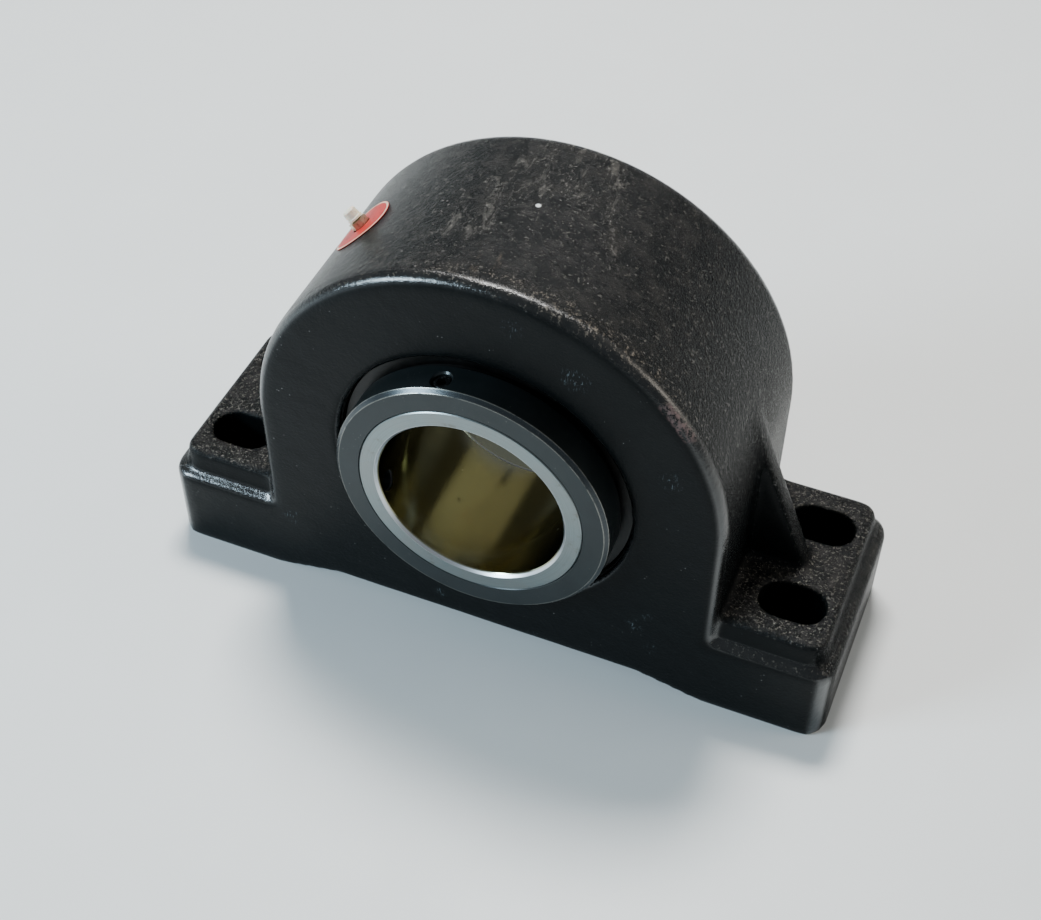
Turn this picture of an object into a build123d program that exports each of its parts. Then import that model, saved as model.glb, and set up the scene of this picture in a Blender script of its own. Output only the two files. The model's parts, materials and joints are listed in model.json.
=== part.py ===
from build123d import *
import os
from math import acos, atan, atan2, cos, pi, radians, sin, sqrt, tan

# Four-bolt pillow block with a double-row tapered roller bearing for a 4-15/16 in shaft.
# The shaft runs along Y, the base rests on Z = 0 and is centred on the origin.
# Lengths are in millimetres. A bearing profile is a list of (radius, reach) points, where
# reach is measured along the shaft from the middle of the housing towards one side of it.

os.makedirs("parts", exist_ok=True)

FRONT, REAR = -1, 1

# ---- shaft and inner rings ----
shaft_diameter = 125.4
shaft_clearance = 0.03
sleeve_wall = 12.6                  # wall of the ring where it reaches out of the housing
sleeve_overhang = 20.0              # how far the ring stands out of the housing face
bore_chamfer = 2.2
ring_edge_chamfer = 1.2
# ---- tapered roller rows ----
roller_diameter = 22.0              # at mid length
roller_length = 38.0
roller_edge = 0.8
roller_spacing = 1.2                # spacing of the rollers over their diameter
contact_angle = 13.5                # roller axis to shaft axis
cone_wall = 19.0                    # inner ring, bore to raceway at the row's middle
cup_wall = 15.5                     # outer ring, raceway to outside at the row's middle
row_gap = 13.5                      # housing middle to the rollers' small ends
small_rib = 1.8
large_rib, large_rib_width = 5.5, 3.0
race_clearance = 0.05
roller_end_clearance = 0.10
cup_face_margin = 3.0               # outer ring face beyond the rollers' large ends
lube_groove_width, lube_groove_depth = 10.0, 3.0
lube_hole_diameter, lube_hole_count = 6.0, 6
# ---- roller cages ----
cage_offset, cage_thickness = 2.6, 2.4
cage_end, cage_flange = 4.6, 9.0
pocket_clearance = 0.35
# ---- locking collars and their set screws ----
collar_wall, collar_width = 17.0, 24.0
collar_chamfer = 2.6
collar_fit = 0.04
screw_diameter, screw_length = 12.7, 19.0
screw_clearance = 0.05
screw_sink = 1.6                    # screw head below the collar's outside
screw_depth = 11.0                  # screw axis behind the collar's outer face
screw_angles = (103.0, 193.0)
screw_socket, screw_socket_depth = 6.35, 8.0
screw_bore_gap = 0.6                # radial room of the screw in the inner ring
# ---- seals and slingers ----
mouth_gap = 7.1                     # collar to the edge of the housing's mouth
seal_recess = 9.0                   # seal face behind the housing face
seal_width, seal_metal = 8.0, 1.6
seal_window = 11.0                  # width of the rubber seen inside the seal's case
lip_clearance, lip_thickness = 0.08, 4.2
slinger_thickness, slinger_gap = 1.8, 1.6
slinger_edge = 2.0                  # slinger's rim below the collar's outside
cage_room = 8.6                     # wider cavity between the outer ring and the seal
# ---- closure nut behind the outer ring ----
thread_step = 1.5                   # nut thread outside the outer ring
thread_clearance = 0.05
nut_recess = 3.0
nut_slot_width, nut_slot_depth, nut_slot_reach = 14.0, 6.0, 12.0
nut_slot_count = 6
o_ring_section, o_ring_room = 3.5, 0.15
clip_angle = 60.0
clip_width, clip_thickness, clip_length = 13.0, 3.0, 34.0
clip_play = 0.5
clip_screw_diameter, clip_screw_length = 8.0, 16.0
clip_head_diameter, clip_head_height, clip_socket = 14.0, 4.5, 5.0
# ---- cast housing ----
arch_wall = 41.0                    # outer ring to the top of the arch
floor_wall = 23.0                   # outer ring to the relieved underside
face_wall = 23.5                    # outer ring face to the housing face
arch_edge = 9.0
base_height = 64.0
base_corner, base_edge = 17.0, 5.0
relief_height, relief_ramp = 9.0, 42.0
relief_land = 85.0                  # length of each foot's flat sole
pad_rise, pad_inset, pad_draft = 18.0, 6.5, 8.0
pad_corner, pad_edge = 14.0, 3.5
rib_thickness, rib_toe = 17.0, 42.0
rib_edge = 4.0
foot_blend = 6.0                    # inside corner between a pad and what rises from it
mouth_chamfer = 1.5
# ---- bolt slots ----
slot_width, slot_length = 29.0, 44.0
slot_to_arch = 18.0                 # arch side to the slot's inner end
slot_to_end = 18.0                  # slot's outer end to the end of the base
slot_to_face = 26.5                 # slot's side to the face of the base
# ---- grease fitting and label ----
fitting_angle = 135.0
fitting_thread, fitting_thread_length = 9.7, 9.0
fitting_hex, fitting_hex_height = 11.0, 5.0
fitting_neck, fitting_head = 5.2, 6.5
fitting_neck_length, fitting_head_length = 0.5, 5.0
fitting_bore = 3.4
fitting_mouth = 2.0
ball_diameter = 3.0
spring_wire, spring_turns = 0.55, 3
cap_wall, cap_gap, cap_foot_gap = 1.3, 0.12, 0.9
grease_duct = 6.0
label_diameter, label_thickness, label_hole = 44.0, 0.4, 13.5

# ---- sizes that follow from the ones above ----
bore_r = shaft_diameter / 2 + shaft_clearance
sleeve_r = bore_r + sleeve_wall
collar_r = sleeve_r + collar_fit + collar_wall
mouth_r = collar_r + mouth_gap
pitch_r = bore_r + cone_wall + roller_diameter / 2
rollers_per_row = int(2 * pi * pitch_r / (roller_spacing * roller_diameter))
tilt = radians(contact_angle)
apex_to_mid = pitch_r / sin(tilt)
half_taper = atan(roller_diameter / 2 / apex_to_mid)
small_end = apex_to_mid - roller_length / 2
large_end = apex_to_mid + roller_length / 2
apex_reach = row_gap - small_end * cos(tilt)
cup_r = pitch_r + roller_diameter / 2 + cup_wall
cup_half = apex_reach + large_end * cos(tilt) + cup_face_margin
half_depth = cup_half + face_wall
base_depth = 2 * half_depth
ring_face = half_depth + sleeve_overhang
arch_r = cup_r + arch_wall
shaft_height = cup_r + floor_wall + relief_height
slot_x = arch_r + slot_to_arch + slot_length / 2
slot_y = half_depth - slot_to_face - slot_width / 2
base_length = 2 * (slot_x + slot_length / 2 + slot_to_end)
pad_top = base_height + pad_rise
seal_face = half_depth - seal_recess
screw_reach = ring_face - screw_depth
screw_head_r = collar_r - screw_sink
cage_speed_ratio = sin(tilt - half_taper) / (2 * sin(tilt) * cos(half_taper))


# ---- helpers ----
def save(node, solid):
    """Write one node's solids to its own file."""
    solid.label = node
    export_step(solid, os.path.join("parts", node + ".step"))


def on_shaft(solid):
    """Lift a piece made around the Y axis to the height of the shaft."""
    return Pos(0, 0, shaft_height) * solid


def ring(profile, side=REAR):
    """Revolve a closed (radius, reach) profile around the shaft, on one side of the housing."""
    outline = Polyline(*[(r, side * reach) for r, reach in profile], close=True)
    return on_shaft(revolve(make_face(outline), Axis.Y))


def radial_plane(angle, reach, side=REAR):
    """Plane at a place along the shaft whose Z axis points outwards at an angle from +X."""
    out = (cos(radians(angle)), 0, sin(radians(angle)))
    return Plane(origin=(0, side * reach, shaft_height), x_dir=(0, 1, 0), z_dir=out)


def peg(radius, start, end):
    """Cylinder along local Z from one height to another."""
    return Pos(0, 0, start) * Cylinder(radius, end - start, align=(Align.CENTER, Align.CENTER, Align.MIN))


def row_point(along, above):
    """(radius, reach) of a point given along the roller axis from its apex, and above that axis."""
    return (along * sin(tilt) + above * cos(tilt), apex_reach + along * cos(tilt) - above * sin(tilt))


def race_point(along, sign, clearance=race_clearance):
    """Point on the inner (sign -1) or outer (sign +1) raceway at a distance from the apex."""
    return row_point(along, sign * (along * tan(half_taper) + clearance))


def rolled_hex(across_flats, height):
    """Hexagonal prism standing on local Z = 0."""
    return extrude(RegularPolygon(across_flats / 2, 6, major_radius=False), height)


# ---- bearing insert ----
def inner_ring(side):
    """Tapered cone with its rib and the long sleeve that carries the collar."""
    start = small_end - roller_end_clearance
    stop = large_end + roller_end_clearance
    race_in = race_point(start, -1)
    race_out = race_point(stop, -1)
    small_top = row_point(start, -start * tan(half_taper) - race_clearance + small_rib)
    rib_top = row_point(stop, -stop * tan(half_taper) - race_clearance + large_rib)
    rib_back = rib_top[1] + large_rib_width
    profile = [
        (bore_r + ring_edge_chamfer, 0), (small_top[0] - ring_edge_chamfer, 0),
        (small_top[0], ring_edge_chamfer), small_top, race_in,
        race_out, rib_top, (rib_top[0], rib_back - 1), (rib_top[0] - 1, rib_back),
        (sleeve_r, rib_back), (sleeve_r, ring_face - 0.6), (sleeve_r - 0.6, ring_face),
        (bore_r + bore_chamfer, ring_face), (bore_r, ring_face - bore_chamfer),
        (bore_r, ring_edge_chamfer),
    ]
    solid = ring(profile, side)
    for angle in screw_angles:
        hole = peg(screw_diameter / 2 + screw_bore_gap, bore_r - 5, sleeve_r + 5)
        solid -= radial_plane(angle, screw_reach, side) * hole
    return solid


def double_cup():
    """One outer ring with both raceways, a lubrication groove and holes through it."""
    race_in = race_point(small_end, 1)
    slope = tan(tilt + half_taper)
    race_out_r = race_in[0] + (cup_half - race_in[1]) * slope
    groove = lube_groove_width / 2
    edge = 2.0
    half = [(cup_r - lube_groove_depth, groove), (cup_r, groove), (cup_r, cup_half - edge),
            (cup_r - edge, cup_half), (race_out_r, cup_half), race_in]
    mirrored = [(r, -reach) for r, reach in reversed(half)]
    solid = ring(half + mirrored)
    for index in range(lube_hole_count):
        hole = peg(lube_hole_diameter / 2, race_in[0] - 5, cup_r)
        solid -= radial_plane(fitting_angle + index * 360 / lube_hole_count, 0) * hole
    return solid


def roller_row(side, grow=0.0):
    """All rollers of one row; grow swells them into the cutters for the cage's pockets."""
    start, stop = small_end - grow, large_end + grow
    edge = roller_edge if grow == 0 else 0
    foot_r, head_r = start * tan(half_taper) + grow, stop * tan(half_taper) + grow
    outline = [(0, start), (foot_r - edge, start), (foot_r, start + edge),
               (head_r, stop - edge), (head_r - edge, stop), (0, stop)]
    if grow:
        outline = [(0, start), (foot_r, start), (head_r, stop), (0, stop)]
    roller = revolve(Plane.XZ * make_face(Polyline(*outline, close=True)), Axis.Z)
    apex = Plane(origin=(0, side * apex_reach, 0), z_dir=(sin(tilt), side * cos(tilt), 0))
    step = 360 / rollers_per_row
    placed = apex * roller
    return [on_shaft(Rot(0, index * step, 0) * placed) for index in range(rollers_per_row)]


def cage(side):
    """Pressed conical cage with a pocket for each roller."""
    low, high = cage_offset, cage_offset + cage_thickness
    start, stop = small_end - cage_end, large_end + cage_end
    shell = [(start, high - cage_flange), (start + cage_thickness, high - cage_flange),
             (start + cage_thickness, low), (stop, low), (stop, high), (start, high)]
    solid = ring([row_point(along, above) for along, above in shell], side)
    return solid - roller_row(side, pocket_clearance)


# ---- collars, set screws, seals ----
def collar(side):
    """Locking collar with a tapped hole for each set screw."""
    inner = ring_face - collar_width
    outer = ring_face - 0.3
    hole_r = sleeve_r + collar_fit
    small = 0.8
    profile = [(hole_r + small, inner), (collar_r - small, inner), (collar_r, inner + small),
               (collar_r, outer - collar_chamfer), (collar_r - collar_chamfer, outer),
               (hole_r + small, outer), (hole_r, outer - small), (hole_r, inner + small)]
    solid = ring(profile, side)
    for angle in screw_angles:
        hole = peg(screw_diameter / 2 + screw_clearance, sleeve_r - 5, collar_r + 5)
        sink = Pos(0, 0, collar_r - 1.2) * Cone(screw_diameter / 2, screw_diameter / 2 + 3.0, 3.0,
                                                 align=(Align.CENTER, Align.CENTER, Align.MIN))
        solid -= radial_plane(angle, screw_reach, side) * (hole + sink)
    return solid


def set_screw(angle, side):
    """Socket set screw with a cup point, standing in the collar's tapped hole."""
    tip, head = screw_head_r - screw_length, screw_head_r
    r, bevel, cup = screw_diameter / 2, 1.2, 3.2
    outline = [(0, tip + 1.5), (cup - 0.8, tip + 0.6), (cup, tip), (r, tip + r - cup),
               (r, head - bevel), (r - bevel, head), (0, head)]
    body = revolve(Plane.XZ * make_face(Polyline(*outline, close=True)), Axis.Z)
    socket = Pos(0, 0, head - screw_socket_depth) * rolled_hex(screw_socket, screw_socket_depth + 1)
    return radial_plane(angle, screw_reach, side) * (body - socket)


def seal_case(side):
    """Pressed steel shell of the shaft seal, an angle section open at the middle."""
    inner = seal_face - seal_width
    window_r = mouth_r - seal_metal - seal_window
    profile = [(mouth_r - seal_metal, inner), (mouth_r, inner), (mouth_r, seal_face - 1),
               (mouth_r - 1, seal_face), (window_r, seal_face), (window_r, seal_face - seal_metal),
               (mouth_r - seal_metal, seal_face - seal_metal)]
    return ring(profile, side)


def seal_lip(side):
    """Rubber ring bonded behind the steel shell, with a main lip and a dust lip on the sleeve."""
    back = seal_face - seal_metal
    root_r = mouth_r - seal_metal - 2.0
    touch_r = sleeve_r + lip_clearance
    profile = [(root_r, back), (root_r, back - 2.4), (touch_r + 6, back - 2.4),
               (touch_r + 2.5, back - lip_thickness - 1.2), (touch_r, back - lip_thickness),
               (touch_r + 1.6, back - 2.0), (touch_r, back - 0.2), (touch_r + 0.6, back)]
    return ring(profile, side)


def slinger(side):
    """Thin disc on the sleeve that throws dirt off in front of the seal."""
    start = seal_face + slinger_gap
    rim = collar_r - slinger_edge
    stop = start + slinger_thickness
    return ring([(sleeve_r, start), (rim, start), (rim, stop), (sleeve_r, stop)], side)


# ---- closure at the back ----
nut_front = cup_half
nut_back = half_depth - nut_recess
nut_r = cup_r + thread_step
o_ring_r = nut_r - o_ring_section / 2
o_ring_reach = nut_front + 5.0
clip_screw_place = nut_r + 15.0


def closure_nut():
    """Threaded ring that seats the outer ring, sets the bearing's play and holds the rear seal."""
    cavity_r = mouth_r + cage_room
    groove = o_ring_section / 2 + o_ring_room
    floor = nut_r - o_ring_section - 2 * o_ring_room
    profile = [(cavity_r, nut_front), (nut_r - 1, nut_front), (nut_r, nut_front + 1),
               (nut_r, o_ring_reach - groove), (floor, o_ring_reach - groove),
               (floor, o_ring_reach + groove), (nut_r, o_ring_reach + groove),
               (nut_r, nut_back - 1), (nut_r - 1, nut_back), (mouth_r + mouth_chamfer, nut_back),
               (mouth_r, nut_back - mouth_chamfer), (mouth_r, seal_face - seal_width),
               (cavity_r, seal_face - seal_width)]
    solid = ring(profile)
    for index in range(nut_slot_count):
        angle = clip_angle + index * 360 / nut_slot_count
        slot = Pos(0, 0, nut_r) * Box(nut_slot_depth * 2, nut_slot_width, nut_slot_reach * 2)
        solid -= radial_plane(angle, nut_back) * slot
    return solid


def closure_o_ring():
    """Rubber ring in the nut's groove, a little flattened against the housing."""
    middle = o_ring_r - o_ring_room
    return on_shaft(Pos(0, o_ring_reach, 0) * Rot(90, 0, 0) * Torus(middle, o_ring_section / 2))


def lock_clip():
    """Bent clip: its plate lies on the housing's back face and its tab stands in a nut slot."""
    tab_width = nut_slot_width - 2 * clip_play
    tab_inner = nut_r - nut_slot_reach + 3.0
    tab_outer = nut_r - 1.0
    plate_outer = tab_inner + clip_length
    face = radial_plane(clip_angle, half_depth)
    plate = Pos(clip_thickness / 2, 0, (tab_inner + plate_outer) / 2) * Box(
        clip_thickness, clip_width, plate_outer - tab_inner)
    plate = fillet(plate.edges().filter_by(Axis.X), 3.0)
    drop = nut_recess + nut_slot_depth - 1.0
    tab = Pos(-drop / 2, 0, tab_inner + clip_thickness / 2) * Box(
        drop, tab_width, clip_thickness)
    brace = Pos(-drop / 4, 0, (tab_inner + tab_outer) / 2) * Box(
        drop / 2 + 0.2, tab_width / 2, tab_outer - tab_inner)
    hole = Pos(0, 0, clip_screw_place) * Rot(0, 90, 0) * Cylinder(
        clip_screw_diameter / 2 + 0.3, 4 * clip_thickness)
    return face * (plate + tab + brace - hole)


def lock_clip_screw():
    """Socket button screw that holds the clip to the housing."""
    r, head_r = clip_screw_diameter / 2, clip_head_diameter / 2
    seat, top = clip_thickness, clip_thickness + clip_head_height
    outline = Polyline((0, seat - clip_screw_length), (r, seat - clip_screw_length),
                       (r, seat), (head_r, seat), (head_r, seat + 1.2))
    dome = ThreePointArc((head_r, seat + 1.2), (head_r * 0.84, top - 1.1), (head_r * 0.5, top))
    close = Polyline((head_r * 0.5, top), (0, top), (0, seat - clip_screw_length))
    body = revolve(Plane.XZ * make_face(outline + dome + close), Axis.Z)
    socket = Pos(0, 0, top - 2.8) * rolled_hex(clip_socket, 4)
    lying = Rot(0, 90, 0) * (body - socket)
    return radial_plane(clip_angle, half_depth) * Pos(0, 0, clip_screw_place) * lying


# ---- housing ----
def arch_outline(radius):
    """Round-topped upright outline standing on the base line, drawn in the XZ plane."""
    upright = Pos(0, shaft_height / 2) * Rectangle(2 * radius, shaft_height)
    crown = Circle(radius) & Pos(0, radius / 2) * Rectangle(2 * radius, radius)
    return upright + Pos(0, shaft_height) * crown


def arch():
    """The body around the bearing, with rounded front and back edges."""
    solid = extrude(Plane.XZ * arch_outline(arch_r), half_depth, both=True)
    faces = solid.faces().sort_by(Axis.Y)
    rims = faces[0].edges() + faces[-1].edges()
    rims = [edge for edge in rims if edge.center().Z > 1]
    return fillet(rims, arch_edge)


def base():
    """The long foot block, relieved under its middle."""
    block = Pos(0, 0, base_height / 2) * Box(base_length, base_depth, base_height)
    block = fillet(block.edges().filter_by(Axis.Z), base_corner)
    return fillet(block.faces().sort_by(Axis.Z)[-1].edges(), base_edge)


def relief():
    """Shallow hollow under the middle, with sloping ends, cut right through front to back."""
    outer = base_length / 2 - relief_land
    inner = outer - relief_ramp
    outline = Polyline((-outer, 0), (-inner, relief_height), (inner, relief_height), (outer, 0),
                       (outer, -5), (-outer, -5), close=True)
    return extrude(Plane.XZ * make_face(outline), half_depth + 5, both=True)


def foot_pad(side):
    """Raised bolting pad on one foot, with drafted sides and a rounded edge."""
    inner = arch_r - 30
    outer = base_length / 2 - pad_inset
    length, depth = outer - inner, base_depth - 2 * pad_inset
    sketch = Pos(side * (inner + outer) / 2, 0) * RectangleRounded(length, depth, pad_corner)
    lift = base_height - 1
    pad = extrude(Plane.XY.offset(lift) * sketch, pad_top - lift, taper=pad_draft)
    return fillet(pad.faces().sort_by(Axis.Z)[-1].edges(), pad_edge)


def foot_rib(side):
    """Gusset in the middle of a foot; its crest is tangent to the arch."""
    toe = (arch_r + rib_toe, pad_top - 2)
    across, down = toe[0], shaft_height - toe[1]
    touch = acos(arch_r / sqrt(across ** 2 + down ** 2)) - atan2(down, across)
    crest = (arch_r * cos(touch), shaft_height + arch_r * sin(touch))
    outline = Polyline(toe, crest, (arch_r - 40, crest[1] - 10), (arch_r - 40, toe[1]), close=True)
    rib = extrude(Plane.XZ * make_face(outline), rib_thickness / 2, both=True)
    slope = [edge for edge in rib.edges() if abs(edge.center().X - (toe[0] + crest[0]) / 2) < 2
             and abs(edge.center().Y) > 1]
    rib = fillet(slope, rib_edge)
    return rib if side > 0 else mirror(rib, Plane.YZ)


def bolt_slots():
    """Four round-ended slots, long side along X."""
    cuts = []
    for x in (-slot_x, slot_x):
        for y in (-slot_y, slot_y):
            slot = SlotOverall(slot_length, slot_width)
            cuts.append(Pos(x, y, -5) * extrude(slot, pad_top + 10))
    return cuts


def bearing_bore():
    """Room for the insert: seal mouth in front, seat for the outer ring, thread at the back."""
    cavity_r = mouth_r + cage_room
    seal_inner = seal_face - seal_width
    far = half_depth + 5
    flare = mouth_chamfer
    thread_r = nut_r + thread_clearance
    profile = [(0, -far), (mouth_r + flare + 5, -far), (mouth_r, -half_depth + flare),
               (mouth_r, -seal_inner), (cavity_r, -seal_inner), (cavity_r, -cup_half),
               (cup_r, -cup_half), (cup_r, cup_half - 1), (thread_r, cup_half - 1),
               (thread_r, half_depth - 1), (thread_r + 6, far), (0, far)]
    return ring(profile)


def housing():
    """One-piece cast housing."""
    solid = base() + arch()
    for side in (-1, 1):
        solid += foot_pad(side)
        solid += foot_rib(side)
    on_pads = [edge for edge in solid.edges() if abs(edge.center().Z - pad_top) < 0.01]
    by_arch = [edge for edge in on_pads if abs(abs(edge.center().X) - arch_r) < 0.01]
    by_rib = [edge for edge in on_pads if abs(abs(edge.center().Y) - rib_thickness / 2) < 0.01]
    solid = fillet(by_arch + by_rib, foot_blend)
    solid -= bolt_slots()
    solid -= bearing_bore()
    solid -= relief()
    duct = peg(grease_duct / 2, cup_r - 2, arch_r + 5)
    socket = peg(fitting_thread / 2, arch_r - fitting_thread_length, arch_r + 5)
    solid -= radial_plane(fitting_angle, 0) * (duct + socket)
    clip_hole = Rot(0, 90, 0) * peg(clip_screw_diameter / 2, -clip_screw_length, 5)
    solid -= radial_plane(clip_angle, half_depth) * Pos(0, 0, clip_screw_place) * clip_hole
    return solid


# ---- grease fitting, cap and label ----
fitting_plane = radial_plane(fitting_angle, 0)
fitting_shoulder = arch_r + fitting_hex_height + 1
fitting_top = fitting_shoulder + fitting_neck_length + fitting_head_length
ball_seat = fitting_top - fitting_mouth / 2 - ball_diameter / 2


def grease_fitting():
    """Lubrication nipple: thread, hexagon, neck and button head, drilled through."""
    foot = arch_r - fitting_thread_length
    hex_top = arch_r + fitting_hex_height
    head = fitting_head / 2
    neck = fitting_neck / 2
    thread = fitting_thread / 2
    outline = [(0, foot), (thread - 0.8, foot), (thread, foot + 0.8), (thread, arch_r + 0.5),
               (neck + 1, arch_r + 0.5), (neck + 1, hex_top), (neck, fitting_shoulder),
               (neck, fitting_top - fitting_head_length), (head, fitting_top - 3.6),
               (head, fitting_top - 2.4),
               (fitting_mouth / 2 + 0.5, fitting_top), (0, fitting_top)]
    body = revolve(Plane.XZ * make_face(Polyline(*outline, close=True)), Axis.Z)
    nut = Pos(0, 0, arch_r + 0.5) * rolled_hex(fitting_hex, fitting_hex_height - 0.5)
    bore = peg(fitting_bore / 2, foot - 1, ball_seat)
    mouth = peg(fitting_mouth / 2, ball_seat, fitting_top + 1)
    cone = Pos(0, 0, ball_seat) * Cone(fitting_bore / 2, fitting_mouth / 2, fitting_mouth / 2,
                                       align=(Align.CENTER, Align.CENTER, Align.MIN))
    shelf = peg(fitting_bore / 2 + 1, foot - 1, foot + 1.2) - peg(fitting_mouth / 2, foot - 2, foot + 2)
    return fitting_plane * (body + nut - (bore - shelf) - mouth - cone)


def fitting_ball():
    """Check ball that closes the nipple's mouth."""
    return fitting_plane * Pos(0, 0, ball_seat - 0.25) * Sphere(ball_diameter / 2)


def fitting_spring():
    """Coil spring that presses the check ball outwards."""
    foot = arch_r - fitting_thread_length + 1.3 + spring_wire / 2
    top = ball_seat - ball_diameter / 2 - 0.25 - spring_wire / 2 - 0.1
    radius = fitting_bore / 2 - spring_wire / 2 - 0.15
    path = Helix((top - foot) / spring_turns, top - foot, radius)
    wire = Plane(origin=path @ 0, z_dir=path % 0) * Circle(spring_wire / 2)
    return fitting_plane * Pos(0, 0, foot) * sweep(wire, path, is_frenet=True)


def grease_cap():
    """Push-on plastic cap over the nipple's head."""
    inner = fitting_head / 2 + cap_gap
    outer = inner + cap_wall
    foot = arch_r + fitting_hex_height + cap_foot_gap
    top = fitting_top + 0.3 + cap_wall
    outline = [(inner, foot), (outer + 0.5, foot), (outer + 0.5, foot + 1.2), (outer, foot + 1.6),
               (outer - 0.2, top - 0.8), (outer - 1, top), (0, top), (0, top - cap_wall),
               (inner, top - cap_wall)]
    return fitting_plane * revolve(Plane.XZ * make_face(Polyline(*outline, close=True)), Axis.Z)


def lube_label():
    """Round label on the arch, around the fitting."""
    skin = ring([(arch_r, -label_diameter), (arch_r + label_thickness, -label_diameter),
                 (arch_r + label_thickness, label_diameter), (arch_r, label_diameter)])
    disc = peg(label_diameter / 2, arch_r - 10, arch_r + 10) - peg(label_hole / 2, arch_r - 11, arch_r + 11)
    return skin & (fitting_plane * disc)


# ---- write every node ----
save("housing", housing())
save("double_cup", double_cup())
for prefix, side in (("front", FRONT), ("rear", REAR)):
    save(prefix + "_cone", inner_ring(side))
    save(prefix + "_cage", cage(side))
    save(prefix + "_rollers", Compound(children=roller_row(side)))
    save(prefix + "_collar", collar(side))
    save(prefix + "_seal_case", seal_case(side))
    save(prefix + "_seal_lip", seal_lip(side))
    save(prefix + "_slinger", slinger(side))
    for number, angle in enumerate(screw_angles, start=1):
        save(prefix + "_set_screw_" + str(number), set_screw(angle, side))
save("closure_nut", closure_nut())
save("closure_o_ring", closure_o_ring())
save("nut_lock_clip", lock_clip())
save("lock_clip_screw", lock_clip_screw())
save("grease_fitting", grease_fitting())
save("fitting_ball", fitting_ball())
save("fitting_spring", fitting_spring())
save("grease_cap", grease_cap())
save("lube_label", lube_label())

print("shaft height %.2f, base %.1f x %.1f, overall height %.1f" % (
    shaft_height, base_length, base_depth, shaft_height + arch_r))
print("slots at x %.2f, y %.2f, bore radius %.3f, bore length %.2f" % (
    slot_x, slot_y, bore_r, 2 * ring_face))
print("cage turns at %.5f of the inner rings' speed" % cage_speed_ratio)
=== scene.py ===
import json
import math

import bpy
import numpy as np
from mathutils import Matrix, Vector, noise


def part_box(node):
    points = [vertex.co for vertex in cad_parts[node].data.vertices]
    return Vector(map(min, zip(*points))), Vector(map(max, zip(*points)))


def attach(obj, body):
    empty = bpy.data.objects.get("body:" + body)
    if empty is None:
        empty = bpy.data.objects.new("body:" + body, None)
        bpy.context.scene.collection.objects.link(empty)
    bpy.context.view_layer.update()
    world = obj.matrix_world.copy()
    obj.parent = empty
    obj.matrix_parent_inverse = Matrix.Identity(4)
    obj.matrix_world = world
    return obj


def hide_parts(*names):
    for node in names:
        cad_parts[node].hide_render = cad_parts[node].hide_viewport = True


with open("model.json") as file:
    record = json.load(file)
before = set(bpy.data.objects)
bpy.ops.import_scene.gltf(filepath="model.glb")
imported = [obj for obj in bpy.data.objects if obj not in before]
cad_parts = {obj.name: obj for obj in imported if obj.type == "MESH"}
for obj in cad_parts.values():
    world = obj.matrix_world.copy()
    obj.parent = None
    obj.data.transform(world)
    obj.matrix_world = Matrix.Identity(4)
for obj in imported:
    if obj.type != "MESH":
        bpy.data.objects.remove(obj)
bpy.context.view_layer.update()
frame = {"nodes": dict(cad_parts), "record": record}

# Everything is in metres, in the row frame: +X along the base, +Y along the shaft, +Z up.
NODES = frame["nodes"]
MM = 0.001


def mount(name):
    """One of the record's mounts."""
    return next(m for m in frame["record"]["mounts"] if m["name"] == name)


# ---- places read from the frame ----
SHAFT_Z = mount("shaft_bore")["pos_m"][2]
BORE_R = mount("shaft_bore")["dims"]["r_mm"] * MM
FACE_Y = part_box("housing")[0].y                 # front face of the casting (negative)
RING_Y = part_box("front_cone")[0].y              # front end face of the inner ring
ARCH_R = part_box("housing")[1].z - SHAFT_Z
COLLAR_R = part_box("front_collar")[1].x
FITTING_DIRECTION = Vector((-1, 0, 1)).normalized()


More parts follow.
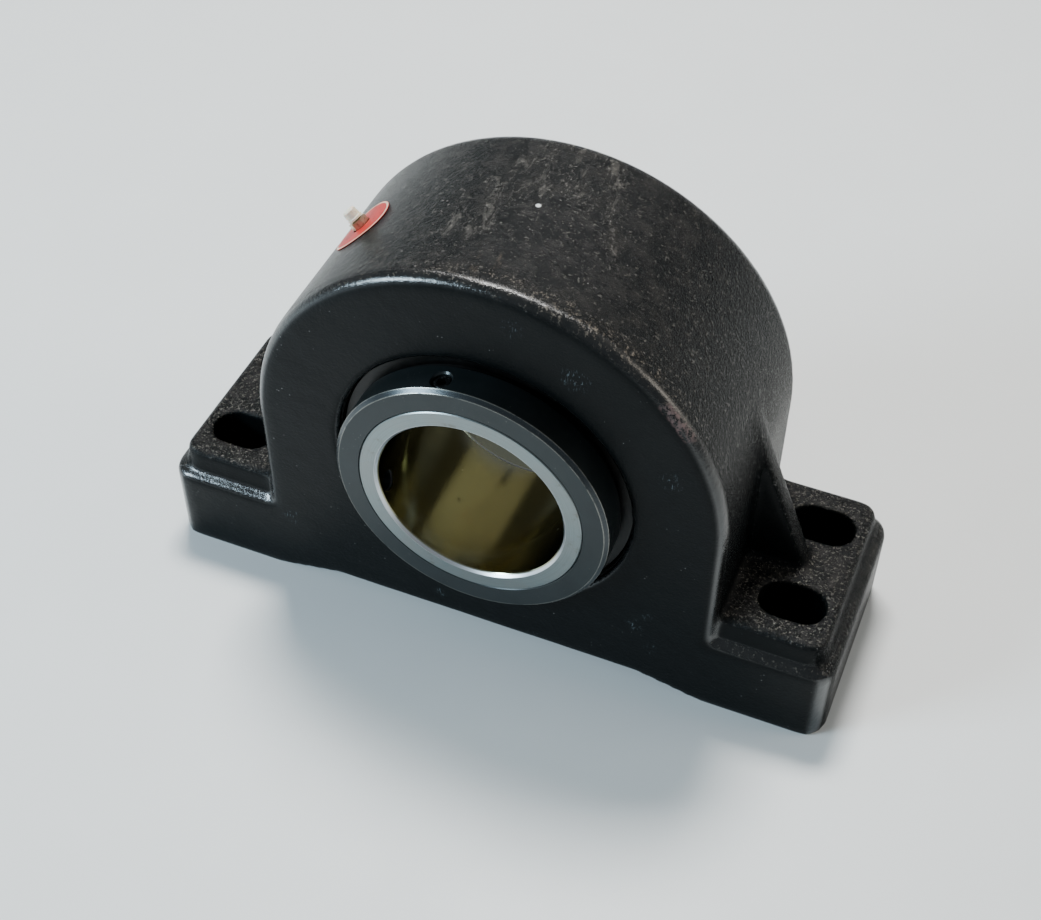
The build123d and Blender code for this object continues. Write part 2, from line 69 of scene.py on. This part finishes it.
# ---- node graph helper ----
class Shader:
    """A material whose node graph is built with short calls."""

    def __init__(self, name, **principled):
        self.material = bpy.data.materials.new(name)
        self.material.use_nodes = True
        self.tree = self.material.node_tree
        self.tree.nodes.clear()
        output = self.tree.nodes.new("ShaderNodeOutputMaterial")
        self.bsdf = self.tree.nodes.new("ShaderNodeBsdfPrincipled")
        self.tree.links.new(self.bsdf.outputs[0], output.inputs[0])
        for key, value in principled.items():
            self.bsdf.inputs[key.replace("_", " ")].default_value = value
        self.place = self.node("ShaderNodeTexCoord").outputs["Object"]
        self.normal = self.node("ShaderNodeNewGeometry").outputs["Normal"]

    def node(self, kind, settings=None, **inputs):
        made = self.tree.nodes.new(kind)
        for key, value in (settings or {}).items():
            setattr(made, key, value)
        for key, value in inputs.items():
            self.feed(made.inputs[key.replace("_", " ")], value)
        return made

    def feed(self, socket, value):
        if isinstance(value, bpy.types.NodeSocket):
            self.tree.links.new(value, socket)
        else:
            socket.default_value = value

    def noise(self, scale, detail=3.0, rough=0.55, distortion=0.0, at=None):
        made = self.node("ShaderNodeTexNoise", Vector=at or self.place, Scale=scale, Detail=detail,
                         Roughness=rough, Distortion=distortion)
        return made.outputs["Fac"]

    def streaks(self, along, scale, detail=4.0):
        """Noise that varies only with one number, as the marks of a lathe do."""
        made = self.node("ShaderNodeTexNoise", {"noise_dimensions": "1D"}, W=along, Scale=scale,
                         Detail=detail, Roughness=0.7)
        return made.outputs["Fac"]

    def cells(self, scale):
        """Distance to the nearest of many scattered points."""
        return self.node("ShaderNodeTexVoronoi", Vector=self.place, Scale=scale).outputs["Distance"]

    def math(self, operation, a, b=0.0, clamp=False):
        made = self.node("ShaderNodeMath", {"operation": operation, "use_clamp": clamp})
        self.feed(made.inputs[0], a)
        self.feed(made.inputs[1], b)
        return made.outputs[0]

    def product(self, *factors):
        result = factors[0]
        for factor in factors[1:]:
            result = self.math("MULTIPLY", result, factor)
        return result

    def step(self, value, low, high):
        """0 below low, 1 above high, smooth between; low above high turns it round."""
        flip = low > high
        made = self.node("ShaderNodeMapRange", {"interpolation_type": "SMOOTHSTEP"}, Value=value)
        made.inputs["From Min"].default_value = min(low, high)
        made.inputs["From Max"].default_value = max(low, high)
        made.inputs["To Min"].default_value = 1.0 if flip else 0.0
        made.inputs["To Max"].default_value = 0.0 if flip else 1.0
        return made.outputs[0]

    def band(self, value, middle, half, soft):
        """1 within half of the middle, falling to 0 over soft."""
        away = self.math("ABSOLUTE", self.math("SUBTRACT", value, middle))
        return self.step(away, half + soft, half)

    def blend(self, factor, a, b):
        made = self.node("ShaderNodeMix", {"data_type": "RGBA"})
        self.feed(made.inputs["Factor"], factor)
        self.feed(made.inputs[6], a)
        self.feed(made.inputs[7], b)
        return made.outputs[2]

    def mix(self, factor, a, b):
        made = self.node("ShaderNodeMix", {"data_type": "FLOAT"})
        self.feed(made.inputs["Factor"], factor)
        self.feed(made.inputs[2], a)
        self.feed(made.inputs[3], b)
        return made.outputs[0]

    def xyz(self, vector=None):
        made = self.node("ShaderNodeSeparateXYZ", Vector=vector or self.place)
        return made.outputs[0], made.outputs[1], made.outputs[2]

    def distance_to(self, point):
        made = self.node("ShaderNodeVectorMath", {"operation": "DISTANCE"})
        self.feed(made.inputs[0], self.place)
        made.inputs[1].default_value = point
        return made.outputs["Value"]

    def shaft_radius(self):
        """Distance of the surface point from the shaft's axis."""
        x, _, z = self.xyz()
        rise = self.math("SUBTRACT", z, SHAFT_Z)
        square = self.math("ADD", self.math("MULTIPLY", x, x), self.math("MULTIPLY", rise, rise))
        return self.math("SQRT", square)

    def bump(self, height, distance, strength=1.0, under=None):
        made = self.node("ShaderNodeBump", Height=height, Distance=distance, Strength=strength)
        if under is not None:
            self.feed(made.inputs["Normal"], under)
        return made.outputs[0]

    def finish(self, color, roughness, normal=None, metallic=None):
        self.feed(self.bsdf.inputs["Base Color"], color)
        self.feed(self.bsdf.inputs["Roughness"], roughness)
        if normal is not None:
            self.feed(self.bsdf.inputs["Normal"], normal)
        if metallic is not None:
            self.feed(self.bsdf.inputs["Metallic"], metallic)
        return self.material


# Scuffs on top of the arch (angle in degrees, distance behind the front face and size, both
# in metres) and light marks on the front face (x, z and size in mm).
CROWN_SCUFFS = ((80, 0.123, 0.034), (77, 0.108, 0.022), (96, 0.103, 0.030),
                (90, 0.140, 0.022), (102, 0.060, 0.026), (70, 0.080, 0.016))
FACE_MARKS = ((-143, 57, 9), (-32, 27, 6), (38, 13, 7), (108, 60, 8), (116, 72, 6), (120, 40, 7),
              (60, 262, 12), (20, 288, 9), (122, 202, 10))


def arch_point(angle, behind):
    """Point on the arch's barrel at an angle from +X and a distance behind the front face."""
    turn = math.radians(angle)
    return (math.cos(turn) * ARCH_R, FACE_Y + behind, SHAFT_Z + math.sin(turn) * ARCH_R)


def largest(shader, masks):
    """The largest of several masks."""
    result = masks[0]
    for mask in masks[1:]:
        result = shader.math("MAXIMUM", result, mask)
    return result


def grey(value, warm=0.0):
    """A grey with a little warmth (red up, blue down) or coolness (negative warm)."""
    return (value * (1 + warm), value, value * (1 - warm), 1.0)


# ---- materials ----
def cast_skin(s, coarse, pits, grain):
    """Bump of a sand casting: long waves, lumps, pits and grain, the last two where it is coarse."""
    skin = s.bump(s.noise(22, 2, 0.4), 1.2 * MM, 0.5)
    skin = s.bump(s.noise(95, 3, 0.5), 0.5 * MM, 0.5, skin)
    skin = s.bump(pits, s.math("MULTIPLY", coarse, 0.9 * MM), 1.0, skin)
    return s.bump(grain, s.math("MULTIPLY", coarse, 0.75 * MM), 1.0, skin)


def crown_wear(s, peaks):
    """Smeared scuffs on top of the arch and a worn spot behind its front edge."""
    spots = [s.step(s.distance_to(arch_point(angle, behind)), size, size * 0.35)
             for angle, behind, size in CROWN_SCUFFS]
    sideways = s.node("ShaderNodeMapping", Vector=s.place, Scale=(1.0, 0.35, 1.0),
                      Rotation=(0, 0, 0.5)).outputs[0]
    dabs = s.step(s.noise(95, 6, 0.75, 0.5, sideways), 0.50, 0.66)
    scuff = s.product(largest(s, spots), dabs, s.mix(peaks, 0.25, 1.0))
    patch_at = s.distance_to(arch_point(93, 24 * MM))
    patch = s.product(s.step(patch_at, 0.016, 0.003), s.mix(peaks, 0.35, 1.0), dabs)
    return scuff, patch


def rim_wear(s, x, y, z, peaks):
    """Paint worn off along the arch's front edge."""
    line = s.band(y, FACE_Y + 11 * MM, 2 * MM, 8.5 * MM)
    stretch = s.product(s.step(x, -0.055, -0.01), s.step(x, 0.150, 0.080), s.step(z, 0.20, 0.26))
    return s.product(line, stretch, s.step(s.noise(130, 4, 0.7), 0.42, 0.60), peaks)


def edge_scrape(s, x, y, z, radius):
    """A short scrape on the right of the arch's front edge."""
    line = s.product(s.band(y, FACE_Y + 3.5 * MM, 1.8 * MM, 2.5 * MM),
                     s.band(z, SHAFT_Z + 0.098, 0.0085, 0.005),
                     s.step(radius, ARCH_R - 7.5 * MM, ARCH_R - 5 * MM), s.step(x, 0.10, 0.12))
    return s.product(line, s.step(s.noise(300, 5, 0.75), 0.44, 0.58))


def face_dabs(s):
    """Light dabs on the front face."""
    marks = [s.step(s.distance_to((px * MM, FACE_Y, pz * MM)), size * MM, size * 0.3 * MM)
             for px, pz, size in FACE_MARKS]
    stretched = s.node("ShaderNodeMapping", Vector=s.place, Scale=(2.6, 1.0, 0.7),
                       Rotation=(0, 0.6, 0)).outputs[0]
    return s.product(largest(s, marks), s.step(s.noise(260, 4, 0.75, 0.6, stretched), 0.56, 0.66))


def bare_and_glint_peaks(s, rough_mix, high_peaks, flat_face, up, z):
    """Lighter grain peaks, most of all where they face up and on the bolt pads: partly paint worn thin and
    dust, partly a painted glint of light.
    """
    bare_and_glint = s.product(high_peaks, s.mix(s.step(up, -0.1, 0.8), 0.06, 0.50),
                     s.mix(flat_face, 1.0, 0.10), s.mix(s.noise(35, 3), 0.45, 1.0))
    on_pad = s.product(s.step(up, 0.7, 0.95), s.step(z, 0.10, 0.09))
    pad_bare_and_glint = s.product(s.step(rough_mix, 0.51, 0.66), s.mix(s.noise(60, 4), 0.30, 0.85))
    return s.mix(on_pad, bare_and_glint, pad_bare_and_glint)


def cast_paint():
    """Satin black paint over coarse cast iron, with scuffs, dust and a scrape on the arch, and lighter
    grain peaks that are partly a painted glint.
    """
    s = Shader("cast_paint", IOR=1.5)
    x, y, z = s.xyz()
    _, across, up = s.xyz(s.normal)
    radius = s.shaft_radius()
    flat_face = s.step(s.math("ABSOLUTE", across), 0.80, 0.97)
    near_face = s.step(s.math("ABSOLUTE", y), abs(FACE_Y) - 10 * MM, abs(FACE_Y) - 6 * MM)
    coarse = s.mix(s.math("MAXIMUM", flat_face, near_face), 1.0, 0.20)

    grain, pits = s.noise(820, 4, 0.62), s.noise(390, 3, 0.6)
    skin = cast_skin(s, coarse, pits, grain)
    rough_mix = s.math("ADD", s.math("MULTIPLY", pits, 0.5), s.math("MULTIPLY", grain, 0.5))
    peaks, high_peaks = s.step(rough_mix, 0.50, 0.60), s.step(rough_mix, 0.55, 0.64)

    crown_scuff, rim_patch = crown_wear(s, peaks)
    rim = rim_wear(s, x, y, z, peaks)
    scrape = edge_scrape(s, x, y, z, radius)
    speck = s.step(s.distance_to(arch_point(89, 83 * MM)), 2.0 * MM, 1.2 * MM)
    sprinkle = s.product(s.step(s.cells(240), 0.13, 0.05), s.step(s.noise(55, 2), 0.57, 0.68))
    dusty = s.product(s.step(up, 0.35, 0.98), s.step(s.noise(85, 5, 0.7), 0.40, 0.75), 0.30)
    # lighter grain peaks: worn paint and dust, with a painted glint on the upward faces and the pad tops
    bare_and_glint = bare_and_glint_peaks(s, rough_mix, high_peaks, flat_face, up, z)
    soles = s.step(z, 3 * MM, 0.0)

    color = s.blend(s.noise(45, 3, 0.6), (0.0014, 0.0022, 0.0024, 1.0), (0.0034, 0.0045, 0.0048, 1.0))
    for amount, strength, tint in (
            (bare_and_glint, 1.0, (0.150, 0.138, 0.112, 1.0)), (dusty, 1.0, grey(0.050, 0.10)),
            (crown_scuff, 0.7, (0.23, 0.215, 0.19, 1.0)), (rim, 0.6, (0.22, 0.185, 0.145, 1.0)),
            (rim_patch, 0.9, (0.36, 0.27, 0.19, 1.0)), (scrape, 0.7, (0.22, 0.14, 0.135, 1.0)),
            (face_dabs(s), 0.6, (0.15, 0.19, 0.21, 1.0)), (sprinkle, 0.6, grey(0.28, 0.03)),
            (speck, 1.0, grey(0.75)), (soles, 1.0, grey(0.16, 0.05))):
        color = s.blend(s.math("MULTIPLY", amount, strength, True), color, tint)

    shine = s.mix(flat_face, s.mix(s.noise(300, 3), 0.18, 0.30), s.mix(s.noise(70, 4), 0.30, 0.44))
    shine = s.mix(s.product(near_face, s.mix(flat_face, 1.0, 0.0)), shine, 0.19)
    dull = s.math("ADD", crown_scuff, s.math("ADD", rim, scrape), True)
    glint = s.mix(high_peaks, s.mix(s.step(up, 0.0, 0.9), 0.03, 0.14), 0.62)
    gloss = s.mix(flat_face, s.mix(near_face, glint, 0.85), 0.10)
    s.feed(s.bsdf.inputs["Specular IOR Level"], gloss)
    return s.finish(color, s.mix(dull, shine, 0.75), skin)


def turned_black():
    """Black-oxide collar: lathe marks, an oily sheen, a painted highlight on the outer chamfer and bright
    wear along its edges.
    """
    s = Shader("turned_black", IOR=1.5)
    _, y, _ = s.xyz()
    radius = s.shaft_radius()
    marks = s.streaks(s.math("ADD", radius, y), 1500, 5)
    smears = s.noise(40, 5, 0.6, 0.6)
    reach = s.math("ABSOLUTE", y)
    end = abs(RING_Y) - 0.3 * MM
    slant = s.math("ADD", radius, reach)
    chamfer = s.product(s.step(slant, COLLAR_R + end - 2.75 * MM, COLLAR_R + end - 2.55 * MM),
                        s.step(reach, end - 3.4 * MM, end - 2.8 * MM))
    edges = s.math("MAXIMUM", s.band(reach, end - 2.6 * MM, 0.22 * MM, 0.2 * MM),
                   s.product(s.band(radius, COLLAR_R - 2.6 * MM, 0.22 * MM, 0.2 * MM),
                             s.step(reach, end - 1 * MM, end)))
    rubbed = s.product(edges, s.step(s.noise(60, 5, 0.7), 0.34, 0.52))
    specks = s.product(s.step(s.cells(420), 0.20, 0.08), s.step(s.noise(90, 2), 0.58, 0.68))
    color = s.blend(smears, (0.009, 0.013, 0.014, 1.0), (0.021, 0.028, 0.030, 1.0))
    # the outer chamfer painted lighter and cooler: a painted highlight of the lit chamfer
    color = s.blend(s.math("MULTIPLY", chamfer, 0.5), color, (0.085, 0.095, 0.105, 1.0))
    color = s.blend(s.math("MULTIPLY", rubbed, 0.45), color, (0.34, 0.33, 0.29, 1.0))
    color = s.blend(s.math("MULTIPLY", specks, 0.5), color, grey(0.20, 0.05))
    rough = s.mix(chamfer, s.mix(smears, 0.24, 0.38), 0.22)
    normal = s.bump(marks, 0.03 * MM, 0.8)
    return s.finish(color, rough, normal, s.mix(chamfer, 0.45, 0.8))


def ground_steel():
    """Inner ring: bright ground end face, a painted highlight on the bore's front chamfer, and a bore under
    a golden-brown film of oil, painted lighter and greyer towards the bottom as a reflection of light.
    """
    s = Shader("ground_steel", IOR=1.5)
    _, y, z = s.xyz()
    radius = s.shaft_radius()
    reach = s.math("ABSOLUTE", y)
    in_bore = s.step(radius, BORE_R + 0.9 * MM, BORE_R + 0.3 * MM)
    on_end = s.step(reach, abs(RING_Y) - 0.8 * MM, abs(RING_Y) - 0.3 * MM)
    on_chamfer = s.product(s.step(radius, BORE_R + 2.5 * MM, BORE_R + 2.1 * MM),
                           s.step(radius, BORE_R + 0.2 * MM, BORE_R + 0.5 * MM))

    marks = s.streaks(s.math("ADD", radius, y), 2600, 5)
    brush = s.streaks(radius, 900, 6)
    cloud = s.noise(34, 5, 0.65, 0.6)
    film = s.noise(22, 5, 0.62, 1.2)
    runs = s.noise(60, 4, 0.65, 0.8)
    spots = s.product(s.step(s.cells(120), 0.20, 0.05), s.step(s.noise(40, 2), 0.60, 0.68))
    rust = s.product(s.step(s.noise(210, 4, 0.7), 0.60, 0.70), s.step(s.noise(22, 3), 0.52, 0.62))

    steel = s.blend(brush, (0.14, 0.168, 0.172, 1.0), (0.28, 0.325, 0.33, 1.0))
    steel = s.blend(s.product(s.step(cloud, 0.35, 0.70), 0.55), steel, (0.23, 0.235, 0.23, 1.0))
    stain = s.step(s.noise(95, 5, 0.7), 0.58, 0.70)
    steel = s.blend(s.product(stain, on_end, 0.45), steel, (0.13, 0.12, 0.10, 1.0))
    # the front chamfer of the bore painted near white: a painted highlight
    steel = s.blend(on_chamfer, steel, (0.66, 0.68, 0.70, 1.0))
    oily = s.blend(film, (0.125, 0.112, 0.055, 1.0), (0.235, 0.218, 0.125, 1.0))
    # lighter and greyer towards the bottom of the bore: a painted reflection of light on the lower wall
    lower_bore_reflection = s.product(s.step(z, SHAFT_Z - 0.005, SHAFT_Z - 0.055), s.mix(runs, 0.6, 1.0))
    oily = s.blend(lower_bore_reflection, oily, (0.50, 0.53, 0.42, 1.0))
    oily = s.blend(s.math("MULTIPLY", runs, 0.35), oily, (0.26, 0.19, 0.085, 1.0))
    oily = s.blend(s.math("MULTIPLY", rust, 0.6), oily, (0.26, 0.11, 0.035, 1.0))
    oily = s.blend(s.math("MULTIPLY", spots, 0.85), oily, (0.03, 0.02, 0.012, 1.0))
    color = s.blend(in_bore, steel, oily)
    rough = s.mix(in_bore, s.mix(brush, 0.26, 0.40), s.mix(film, 0.07, 0.17))
    rough = s.mix(s.product(spots, in_bore), rough, 0.6)
    normal = s.bump(marks, 0.02 * MM, 0.6)
    normal = s.bump(s.noise(38, 3, 0.5), s.math("MULTIPLY", in_bore, 0.08 * MM), 0.5, normal)
    return s.finish(color, rough, normal, 1.0)


def bearing_steel():
    """Polished rolling parts with a trace of grease."""
    s = Shader("bearing_steel", IOR=1.5, Metallic=1.0)
    smear = s.noise(60, 4, 0.6, 0.5)
    color = s.blend(smear, grey(0.56), (0.50, 0.42, 0.28, 1.0))
    marks = s.streaks(s.shaft_radius(), 2200, 4)
    return s.finish(color, s.mix(smear, 0.12, 0.32), s.bump(marks, 0.01 * MM, 0.6))


def pressed_steel():
    """Dull pressed sheet of the cages, seal shells and slingers, coloured near black: painted shade in the
    gap around the collar.
    """
    s = Shader("pressed_steel", IOR=1.5, Metallic=1.0)
    blotch = s.noise(90, 5, 0.65)
    # near-black metal: painted shade where the seal shell shows in the gap around the collar
    color = s.blend(blotch, grey(0.022, -0.02), grey(0.055, 0.03))
    marks = s.streaks(s.shaft_radius(), 1200, 4)
    return s.finish(color, s.mix(blotch, 0.32, 0.55), s.bump(marks, 0.03 * MM, 0.6))


def screw_steel():
    """Black oxide on screws, rubbed brighter in scattered patches."""
    s = Shader("screw_steel", IOR=1.5, Metallic=0.8)
    rub = s.step(s.noise(420, 4, 0.7), 0.52, 0.70)
    color = s.blend(rub, grey(0.018, -0.05), grey(0.14, 0.02))
    return s.finish(color, s.mix(rub, 0.30, 0.45), s.bump(s.noise(1600, 3), 0.03 * MM, 0.6))


def nut_steel():
    """Phosphated closure nut with turning marks."""
    s = Shader("nut_steel", IOR=1.5, Metallic=0.5)
    blotch = s.noise(70, 5, 0.6)
    _, y, _ = s.xyz()
    marks = s.streaks(s.math("ADD", s.shaft_radius(), y), 1100, 5)
    color = s.blend(blotch, grey(0.022, 0.02), grey(0.055, 0.05))
    color = s.blend(s.step(marks, 0.60, 0.75), color, grey(0.12, 0.02))
    return s.finish(color, s.mix(blotch, 0.38, 0.58), s.bump(marks, 0.04 * MM, 0.8))


def zinc_steel():
    """Yellow zinc plating of the grease fitting."""
    s = Shader("zinc_steel", IOR=1.5, Metallic=1.0)
    tone = s.noise(300, 4, 0.6)
    color = s.blend(tone, (0.62, 0.52, 0.30, 1.0), (0.70, 0.66, 0.52, 1.0))
    grease = s.step(s.noise(500, 3), 0.55, 0.7)
    color = s.blend(s.math("MULTIPLY", grease, 0.5), color, (0.12, 0.08, 0.04, 1.0))
    return s.finish(color, s.mix(tone, 0.25, 0.42), s.bump(s.noise(1500, 3), 0.03 * MM, 0.5))


def seal_rubber():
    """Matt black rubber with dust."""
    s = Shader("seal_rubber", IOR=1.45)
    dust = s.step(s.noise(240, 5, 0.7), 0.48, 0.72)
    color = s.blend(dust, grey(0.014), grey(0.045, 0.06))
    return s.finish(color, s.mix(dust, 0.55, 0.80), s.bump(s.noise(900, 3), 0.08 * MM, 0.6))


def cap_plastic():
    """Soft cream plastic, a little yellowed and smudged."""
    s = Shader("cap_plastic", IOR=1.46, Subsurface_Weight=0.25, Subsurface_Scale=0.002)
    smudge = s.step(s.noise(420, 4, 0.65), 0.50, 0.72)
    color = s.blend(smudge, (0.80, 0.74, 0.58, 1.0), (0.52, 0.44, 0.30, 1.0))
    return s.finish(color, s.mix(smudge, 0.36, 0.55), s.bump(s.noise(900, 3), 0.05 * MM, 0.5))


def label_film():
    """Red film with a cream border; it carries no lettering."""
    s = Shader("label_film", IOR=1.45, Specular_IOR_Level=0.22)
    outer = (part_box("lube_label")[1].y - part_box("lube_label")[0].y) / 2
    centre = Vector((0, 0, SHAFT_Z)) + FITTING_DIRECTION * ARCH_R
    distance = s.distance_to(centre)
    border = s.band(distance, outer - 0.9 * MM, 0.5 * MM, 0.25 * MM)
    scuff = s.product(s.step(s.noise(330, 5, 0.7), 0.56, 0.68), s.step(s.noise(45, 3), 0.42, 0.60))
    color = s.blend(s.noise(60, 4), (0.36, 0.010, 0.010, 1.0), (0.50, 0.026, 0.020, 1.0))
    color = s.blend(border, color, (0.66, 0.50, 0.36, 1.0))
    color = s.blend(s.math("MULTIPLY", scuff, 0.8), color, grey(0.035, 0.1))
    return s.finish(color, s.mix(scuff, 0.42, 0.65), s.bump(s.noise(520, 3), 0.12 * MM, 0.5))


# The finish for each material slot of the record.
FINISHES = {
    "cast_paint": cast_paint, "black_oxide": turned_black, "ground_steel": ground_steel,
    "bearing_steel": bearing_steel, "pressed_steel": pressed_steel, "screw_steel": screw_steel,
    "nut_steel": nut_steel, "zinc_steel": zinc_steel, "seal_rubber": seal_rubber,
    "cap_plastic": cap_plastic, "label_film": label_film,
}
MADE = {slot: build() for slot, build in FINISHES.items()}


def paint(obj, material):
    """Give an object one material in every slot."""
    if not obj.material_slots:
        obj.data.materials.append(material)
    for material_slot in obj.material_slots:
        material_slot.material = material


for part in frame["record"]["subparts"]:
    paint(NODES[part["node"]], MADE[part["material_slot"]])


# ---- the casting ----
CASTING_VOXEL = 2.2 * MM
CASTING_SMOOTHING = 9                           # passes
CASTING_WAVE = 0.35 * MM                        # deepest inward wave of the skin
LONG_WAVES, SHORT_WAVES = (28, 0.7), (75, 0.3)  # waves per metre and their share
SOLE_HEIGHT = 2 * MM                            # the soles below this stay flat


def apply_modifiers(obj):
    """Replace the object's mesh by what its modifiers make of it."""
    graph = bpy.context.evaluated_depsgraph_get()
    mesh = bpy.data.meshes.new_from_object(obj.evaluated_get(graph))
    obj.modifiers.clear()
    obj.data = mesh


def casting():
    """The housing as it comes from the mould: soft corners, blended ribs, a slightly wavy skin."""
    piece = bpy.data.objects.new("housing_casting", NODES["housing"].data.copy())
    bpy.context.scene.collection.objects.link(piece)
    remesh = piece.modifiers.new("remesh", "REMESH")
    remesh.mode = "VOXEL"
    remesh.voxel_size = CASTING_VOXEL
    smooth = piece.modifiers.new("smooth", "SMOOTH")
    smooth.factor = 0.5
    smooth.iterations = CASTING_SMOOTHING
    apply_modifiers(piece)
    mesh = piece.data
    count = len(mesh.vertices)
    points, normals = np.empty(3 * count), np.empty(3 * count)
    mesh.vertices.foreach_get("co", points)
    mesh.vertices.foreach_get("normal", normals)
    points, normals = points.reshape(-1, 3), normals.reshape(-1, 3)
    sway = np.array([sum(noise.noise(Vector(p) * rate) * share for rate, share in (LONG_WAVES, SHORT_WAVES))
                     for p in points])
    depth = CASTING_WAVE * (0.5 + 0.5 * sway) * (points[:, 2] > SOLE_HEIGHT)
    points -= normals * depth[:, None]
    mesh.vertices.foreach_set("co", points.ravel())
    mesh.update()
    for polygon in mesh.polygons:
        polygon.use_smooth = True
    paint(piece, MADE["cast_paint"])
    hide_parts("housing")
    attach(piece, "housing")


casting()


# ---- floor, light and camera ----
FLOOR_SIZE = 12
ROOM_COLOR, ROOM_STRENGTH = (0.88, 0.94, 1.0, 1.0), 0.24
# Area lights: name, place, size, power in watts and colour.
LIGHTS = (("window", (-2.1, -1.7, 1.35), (1.0, 0.6), 95, (0.66, 0.86, 1.0)),
          ("ceiling", (-0.4, 1.0, 2.6), (0.9, 0.6), 110, (1.0, 0.985, 0.96)),
          ("right_fill", (2.3, 0.6, 1.3), (1.2, 1.2), 18, (1.0, 0.92, 0.80)))


def floor():
    """Plain pale floor under the feet."""
    bpy.ops.mesh.primitive_plane_add(size=FLOOR_SIZE, location=(0, 0, 0))
    ground = bpy.context.active_object
    ground.name = "floor"
    s = Shader("floor_finish", IOR=1.45)
    tone = s.blend(s.noise(9, 4, 0.6), (0.75, 0.775, 0.77, 1.0), (0.80, 0.825, 0.82, 1.0))
    paint(ground, s.finish(tone, s.mix(s.noise(14, 3), 0.42, 0.55)))


def area_light(name, at, towards, size, power, color):
    """Rectangular soft light aimed at a point."""
    light = bpy.data.lights.new(name, "AREA")
    light.shape = "RECTANGLE"
    light.size, light.size_y = size
    light.energy = power
    light.color = color
    obj = bpy.data.objects.new(name, light)
    obj.location = at
    obj.rotation_euler = (Vector(towards) - Vector(at)).to_track_quat("-Z", "Y").to_euler()
    bpy.context.scene.collection.objects.link(obj)


def lighting():
    """Pale room, a cool window in front on the left, a soft ceiling and a warm fill on the right."""
    world = bpy.data.worlds.new("room")
    world.use_nodes = True
    background = world.node_tree.nodes["Background"]
    background.inputs["Color"].default_value = ROOM_COLOR
    background.inputs["Strength"].default_value = ROOM_STRENGTH
    bpy.context.scene.world = world
    for name, at, size, power, color in LIGHTS:
        area_light(name, at, (0, 0, SHAFT_Z), size, power, color)


CAMERA_AZIMUTH, CAMERA_ELEVATION, CAMERA_ROLL = 21.985, 46.492, 0.618   # degrees
CAMERA_DISTANCE = 1.1669
CAMERA_LENS, SENSOR_WIDTH = 59.05, 36.0         # mm
CAMERA_AIM = Vector((-0.0050, 0.0015, 0.62 * SHAFT_Z))


def camera():
    """Camera above the front right corner, looking down at the collar."""
    turn, rise = math.radians(CAMERA_AZIMUTH), math.radians(CAMERA_ELEVATION)
    back = Vector((math.sin(turn) * math.cos(rise), -math.cos(turn) * math.cos(rise), math.sin(rise)))
    data = bpy.data.cameras.new("camera")
    data.lens = CAMERA_LENS
    data.sensor_width = SENSOR_WIDTH
    data.sensor_fit = "HORIZONTAL"
    obj = bpy.data.objects.new("camera", data)
    look = (-back).to_track_quat("-Z", "Y").to_matrix().to_4x4()
    roll = Matrix.Rotation(math.radians(CAMERA_ROLL), 4, "Z")
    obj.matrix_world = Matrix.Translation(CAMERA_AIM + back * CAMERA_DISTANCE) @ look @ roll
    bpy.context.scene.collection.objects.link(obj)
    bpy.context.scene.camera = obj


floor()
lighting()
camera()
